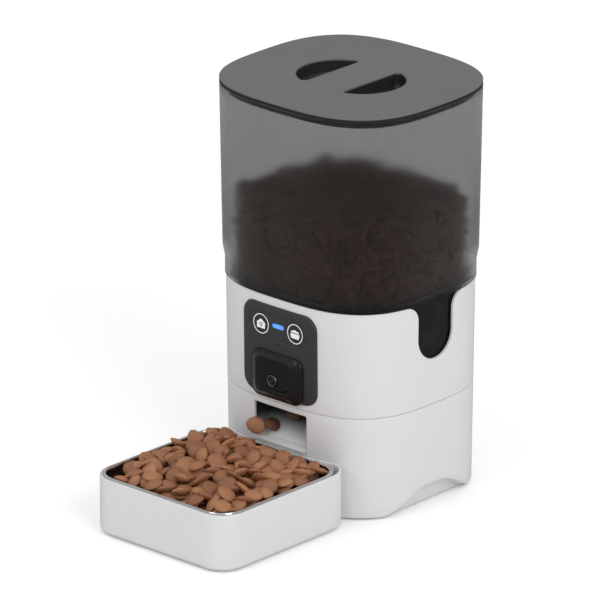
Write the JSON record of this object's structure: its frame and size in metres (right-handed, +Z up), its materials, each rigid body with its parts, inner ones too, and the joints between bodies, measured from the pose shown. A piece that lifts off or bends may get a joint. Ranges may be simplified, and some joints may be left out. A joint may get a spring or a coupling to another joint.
{
  "type": "automatic pet feeder",
  "caption": "Tower feeder: smoked hopper with lift-off lid, portioning rotor and drive, camera and button panel, chute, and a slide-away tray with a steel bowl.",
  "frame": {"origin": "on the floor, at the middle of the whole object's footprint", "axes": "+Z up, +X to the right seen from the front, the bowl at -Y"},
  "size_m": [0.19, 0.312, 0.3354],
  "materials": {
    "white_shell": "satin white moulded plastic",
    "base_grey": "fine texture",
    "rubber_grey": "matte",
    "rubber_black": "matte silicone",
    "screw_steel": "zinc plated",
    "inner_grey": "moulded",
    "inner_black": "moulded",
    "cell_jacket": "printed sleeve, plain",
    "chute_grey": "smooth",
    "motor_steel": "drawn can",
    "gear_white": "acetal",
    "board_green": "solder mask",
    "panel_black": "satin",
    "button_black": "satin with white print",
    "led_blue": "lit diffuser",
    "camera_black": "gloss",
    "camera_window": "dark tinted acrylic",
    "lens_glass": "coated glass",
    "smoke_clear": "frosted smoke-tinted plastic",
    "funnel_black": "smooth",
    "rotor_grey": "smooth",
    "lid_grey": "fine spark texture",
    "lid_dark": "fine spark texture",
    "bag_fabric": "non-woven paper",
    "bowl_steel": "polished stainless"
  },
  "bodies": {
    "tower": {"lower_shell": "white_shell", "upper_shell": "white_shell", "base_plate": "base_grey", "rubber_feet": "rubber_grey", "base_screws": "screw_steel", "battery_box": "inner_grey", "battery_contacts": "screw_steel", "battery_cells": "cell_jacket", "deck_plate": "base_grey", "chute": "chute_grey", "chute_sensors": "inner_black", "gearbox_case": "inner_grey", "gearbox_cover": "inner_grey", "gearbox_screws": "screw_steel", "motor": "motor_steel", "main_board": "board_green", "board_components": "inner_black", "board_screws": "screw_steel", "speaker": "inner_black", "power_inlet": "inner_black", "control_panel": "panel_black", "panel_board": "board_green", "button_switches": "motor_steel", "led_lens": "led_blue", "camera_housing": "camera_black", "camera_window": "camera_window", "camera_lens": "lens_glass", "camera_board": "board_green"},
    "food_tank": {"hopper": "smoke_clear", "hopper_funnel": "funnel_black", "rotor_floor": "funnel_black", "outlet_guard": "funnel_black", "rotor_wiper": "rubber_grey"},
    "portion_rotor": {"rotor": "rotor_grey"},
    "lid": {"lid_plate": "lid_grey", "lid_grip_pan": "lid_dark", "lid_frame": "lid_dark", "lid_seal": "rubber_black"},
    "drying_pack": {"desiccant_box": "lid_dark", "desiccant_bag": "bag_fabric"},
    "gear": {"drive_gear": "gear_white", "drive_coupler": "inner_grey"},
    "motor_pinion": {"pinion": "gear_white"},
    "left_button": {"wifi_button": "button_black"},
    "right_button": {"feed_button": "button_black"},
    "battery_door": {"battery_cover": "base_grey"},
    "tray": {"bowl_tray": "white_shell", "tray_feet": "rubber_grey"},
    "bowl": {"steel_bowl": "bowl_steel"}
  },
  "joints": [
    {"name": "hopper_lift", "type": "slide", "parent": "tower", "child": "food_tank", "axis": [0, 0, 1], "range_m": [0, 0.09]},
    {"name": "rotor_spin", "type": "hinge", "parent": "food_tank", "child": "portion_rotor", "pos_m": [0, 0.06785, 0.118], "axis": [0, 0, 1], "continuous": true},
    {"name": "lid_lift", "type": "slide", "parent": "food_tank", "child": "lid", "axis": [0, 0, 1], "range_m": [0, 0.06]},
    {"name": "desiccant_pull", "type": "slide", "parent": "lid", "child": "drying_pack", "axis": [0, 0, -1], "range_m": [0, 0.02]},
    {"name": "drive_gear_spin", "type": "hinge", "parent": "tower", "child": "gear", "pos_m": [0, 0.06785, 0.09], "axis": [0, 0, 1], "continuous": true},
    {"name": "pinion_spin", "type": "hinge", "parent": "tower", "child": "motor_pinion", "pos_m": [0, 0.09685, 0.09], "axis": [0, 0, 1], "continuous": true},
    {"name": "wifi_button_press", "type": "slide", "parent": "tower", "child": "left_button", "axis": [0, 1, 0], "range_m": [0, 0.0008], "stiffness_N_per_m": 1500},
    {"name": "feed_button_press", "type": "slide", "parent": "tower", "child": "right_button", "axis": [0, 1, 0], "range_m": [0, 0.0008], "stiffness_N_per_m": 1500},
    {"name": "battery_door_drop", "type": "slide", "parent": "tower", "child": "battery_door", "axis": [0, 0, -1], "range_m": [0, 0.02]},
    {"name": "tray_slide", "type": "slide", "parent": "tower", "child": "tray", "axis": [0, -1, 0], "range_m": [0, 0.08]},
    {"name": "bowl_lift", "type": "slide", "parent": "tray", "child": "bowl", "axis": [0, 0, 1], "range_m": [0, 0.036]}
  ],
  "couplings": [
    {"joint": "drive_gear_spin", "follows": "rotor_spin", "ratio": 1},
    {"joint": "pinion_spin", "follows": "rotor_spin", "ratio": -2.2222}
  ]
}
